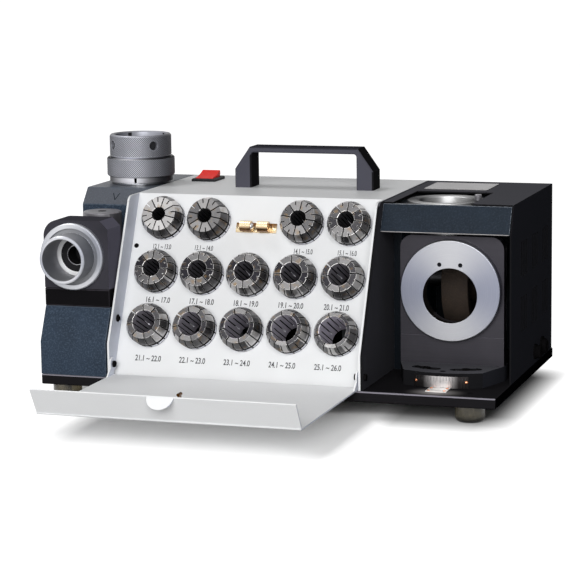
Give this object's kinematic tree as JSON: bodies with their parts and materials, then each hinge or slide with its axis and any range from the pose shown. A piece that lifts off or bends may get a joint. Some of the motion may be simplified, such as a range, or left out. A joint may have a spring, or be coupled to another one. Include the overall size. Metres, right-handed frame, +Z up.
{
  "type": "drill bit grinder",
  "caption": "bench grinder that sharpens large twist drills held in a collet chuck, with a collet rack behind a hinged lid, point, relief and web ports and a drill setting station",
  "frame": {"origin": "on the bench, under the middle of the machine with its lid lying open", "axes": "X to the operator's right, Y away from the operator, Z up"},
  "size_m": [0.4584, 0.442, 0.2437],
  "materials": {
    "slate_blue_paint": "satin enamel over a fine sand-cast texture",
    "black_paint": "fine textured satin black",
    "grey_black_steel": "blackened, milled face",
    "white_powder": "smooth off-white powder coat",
    "satin_aluminium": "turned, satin",
    "chuck_steel": "knurled and satin hard-chromed",
    "ground_steel": "ground spring steel",
    "black_plastic": "moulded",
    "handle_black": "fine leather grain",
    "rocker_red": "moulded",
    "brass": "drawn, lightly polished",
    "bright_steel": "polished",
    "black_screws": "black oxide",
    "foot_plastic": "smoky dark amber",
    "copper": "copper rivets",
    "bare_plate": "brushed plate left bare",
    "abrasive_brown": "brown abrasive rim on a light alloy body",
    "motor_grey": "cast and painted",
    "shaft_steel": "ground"
  },
  "bodies": {
    "main": {"base_plate": "black_paint", "feet": "foot_plastic", "cap_screws": "black_screws", "panel_screws": "black_screws", "left_casting": "slate_blue_paint", "setting_shelf": "black_paint", "setting_block": "black_paint", "setting_flange": "satin_aluminium", "setting_stop": "black_plastic", "setting_post": "grey_black_steel", "casing": "white_powder", "collet_rack": "black_plastic", "lid_hinge_screws": "black_screws", "catch_body": "brass", "handle": "handle_black", "switch_bezel": "black_plastic", "bay_wall": "black_paint", "right_cover": "black_paint", "right_casting": "slate_blue_paint", "right_port_ring": "satin_aluminium", "port_stop_pin": "bright_steel", "blank_plate": "bare_plate", "cord_gland": "black_plastic", "fuse_holder": "black_plastic", "rear_panel": "black_paint", "index_plate": "bare_plate", "index_rivets": "copper", "motor_body": "motor_grey", "motor_bearings": "shaft_steel"},
    "spindle": {"rotor_shaft": "shaft_steel", "left_wheel": "abrasive_brown", "right_wheel": "abrasive_brown"},
    "lid": {"lid": "white_powder", "lid_strike": "brass"},
    "rocker": {"switch_rocker": "rocker_red"},
    "port_ring": {"left_port_ring": "chuck_steel"},
    "chuck": {"chuck_body": "chuck_steel"},
    "nut": {"chuck_nut": "chuck_steel"},
    "web_head": {"swivel_block": "black_paint", "web_plate": "grey_black_steel", "web_ring": "satin_aluminium", "scale_strip": "bare_plate", "scale_rivets": "copper"},
    "ball_left": {"catch_ball_left": "bright_steel"},
    "ball_right": {"catch_ball_right": "bright_steel"},
    "collet_13": {"collet_13_mm": "ground_steel"},
    "collet_14": {"collet_14_mm": "ground_steel"},
    "collet_15": {"collet_15_mm": "ground_steel"},
    "collet_16": {"collet_16_mm": "ground_steel"},
    "collet_17": {"collet_17_mm": "ground_steel"},
    "collet_18": {"collet_18_mm": "ground_steel"},
    "collet_19": {"collet_19_mm": "ground_steel"},
    "collet_20": {"collet_20_mm": "ground_steel"},
    "collet_21": {"collet_21_mm": "ground_steel"},
    "collet_22": {"collet_22_mm": "ground_steel"},
    "collet_23": {"collet_23_mm": "ground_steel"},
    "collet_24": {"collet_24_mm": "ground_steel"},
    "collet_25": {"collet_25_mm": "ground_steel"},
    "collet_26": {"collet_26_mm": "ground_steel"}
  },
  "joints": [
    {"name": "lid_hinge", "type": "hinge", "parent": "main", "child": "lid", "pos_m": [-0.0297, -0.02718, 0.0383], "axis": [1, 0, 0], "range_deg": [-114.6, 0]},
    {"name": "rocker_tilt", "type": "hinge", "parent": "main", "child": "rocker", "pos_m": [-0.1255, 0.17247, 0.196], "axis": [1, 0, 0], "range_deg": [-30, 0]},
    {"name": "spindle_spin", "type": "hinge", "parent": "main", "child": "spindle", "pos_m": [0, 0.13797, 0.107], "axis": [1, 0, 0], "continuous": true},
    {"name": "port_turn", "type": "hinge", "parent": "main", "child": "port_ring", "pos_m": [-0.1855, 0.13797, 0.1935], "axis": [0, 0, 1], "range_deg": [-20, 20]},
    {"name": "chuck_lift", "type": "slide", "parent": "port_ring", "child": "chuck", "axis": [0, 0, 1], "range_m": [0, 0.05]},
    {"name": "nut_turn", "type": "hinge", "parent": "chuck", "child": "nut", "pos_m": [-0.1855, 0.13797, 0.2335], "axis": [0, 0, 1], "range_deg": [0, 90]},
    {"name": "web_swivel", "type": "hinge", "parent": "main", "child": "web_head", "pos_m": [0.165, 0.08297, 0.026], "axis": [0, 0, 1], "range_deg": [-8, 8]},
    {"name": "ball_left_press", "type": "slide", "parent": "main", "child": "ball_left", "axis": [-1, 0, 0], "range_m": [0, 0.0015], "stiffness_N_per_m": 800},
    {"name": "ball_right_press", "type": "slide", "parent": "main", "child": "ball_right", "axis": [1, 0, 0], "range_m": [0, 0.0015], "stiffness_N_per_m": 800},
    {"name": "collet_13_draw", "type": "slide", "parent": "main", "child": "collet_13", "axis": [0, -0.9092, 0.4163], "range_m": [0, 0.06]},
    {"name": "collet_14_draw", "type": "slide", "parent": "main", "child": "collet_14", "axis": [0, -0.9092, 0.4163], "range_m": [0, 0.06]},
    {"name": "collet_15_draw", "type": "slide", "parent": "main", "child": "collet_15", "axis": [0, -0.9092, 0.4163], "range_m": [0, 0.06]},
    {"name": "collet_16_draw", "type": "slide", "parent": "main", "child": "collet_16", "axis": [0, -0.9092, 0.4163], "range_m": [0, 0.06]},
    {"name": "collet_17_draw", "type": "slide", "parent": "main", "child": "collet_17", "axis": [0, -0.9092, 0.4163], "range_m": [0, 0.06]},
    {"name": "collet_18_draw", "type": "slide", "parent": "main", "child": "collet_18", "axis": [0, -0.9092, 0.4163], "range_m": [0, 0.06]},
    {"name": "collet_19_draw", "type": "slide", "parent": "main", "child": "collet_19", "axis": [0, -0.9092, 0.4163], "range_m": [0, 0.06]},
    {"name": "collet_20_draw", "type": "slide", "parent": "main", "child": "collet_20", "axis": [0, -0.9092, 0.4163], "range_m": [0, 0.06]},
    {"name": "collet_21_draw", "type": "slide", "parent": "main", "child": "collet_21", "axis": [0, -0.9092, 0.4163], "range_m": [0, 0.06]},
    {"name": "collet_22_draw", "type": "slide", "parent": "main", "child": "collet_22", "axis": [0, -0.9092, 0.4163], "range_m": [0, 0.06]},
    {"name": "collet_23_draw", "type": "slide", "parent": "main", "child": "collet_23", "axis": [0, -0.9092, 0.4163], "range_m": [0, 0.06]},
    {"name": "collet_24_draw", "type": "slide", "parent": "main", "child": "collet_24", "axis": [0, -0.9092, 0.4163], "range_m": [0, 0.06]},
    {"name": "collet_25_draw", "type": "slide", "parent": "main", "child": "collet_25", "axis": [0, -0.9092, 0.4163], "range_m": [0, 0.06]},
    {"name": "collet_26_draw", "type": "slide", "parent": "main", "child": "collet_26", "axis": [0, -0.9092, 0.4163], "range_m": [0, 0.06]}
  ]
}
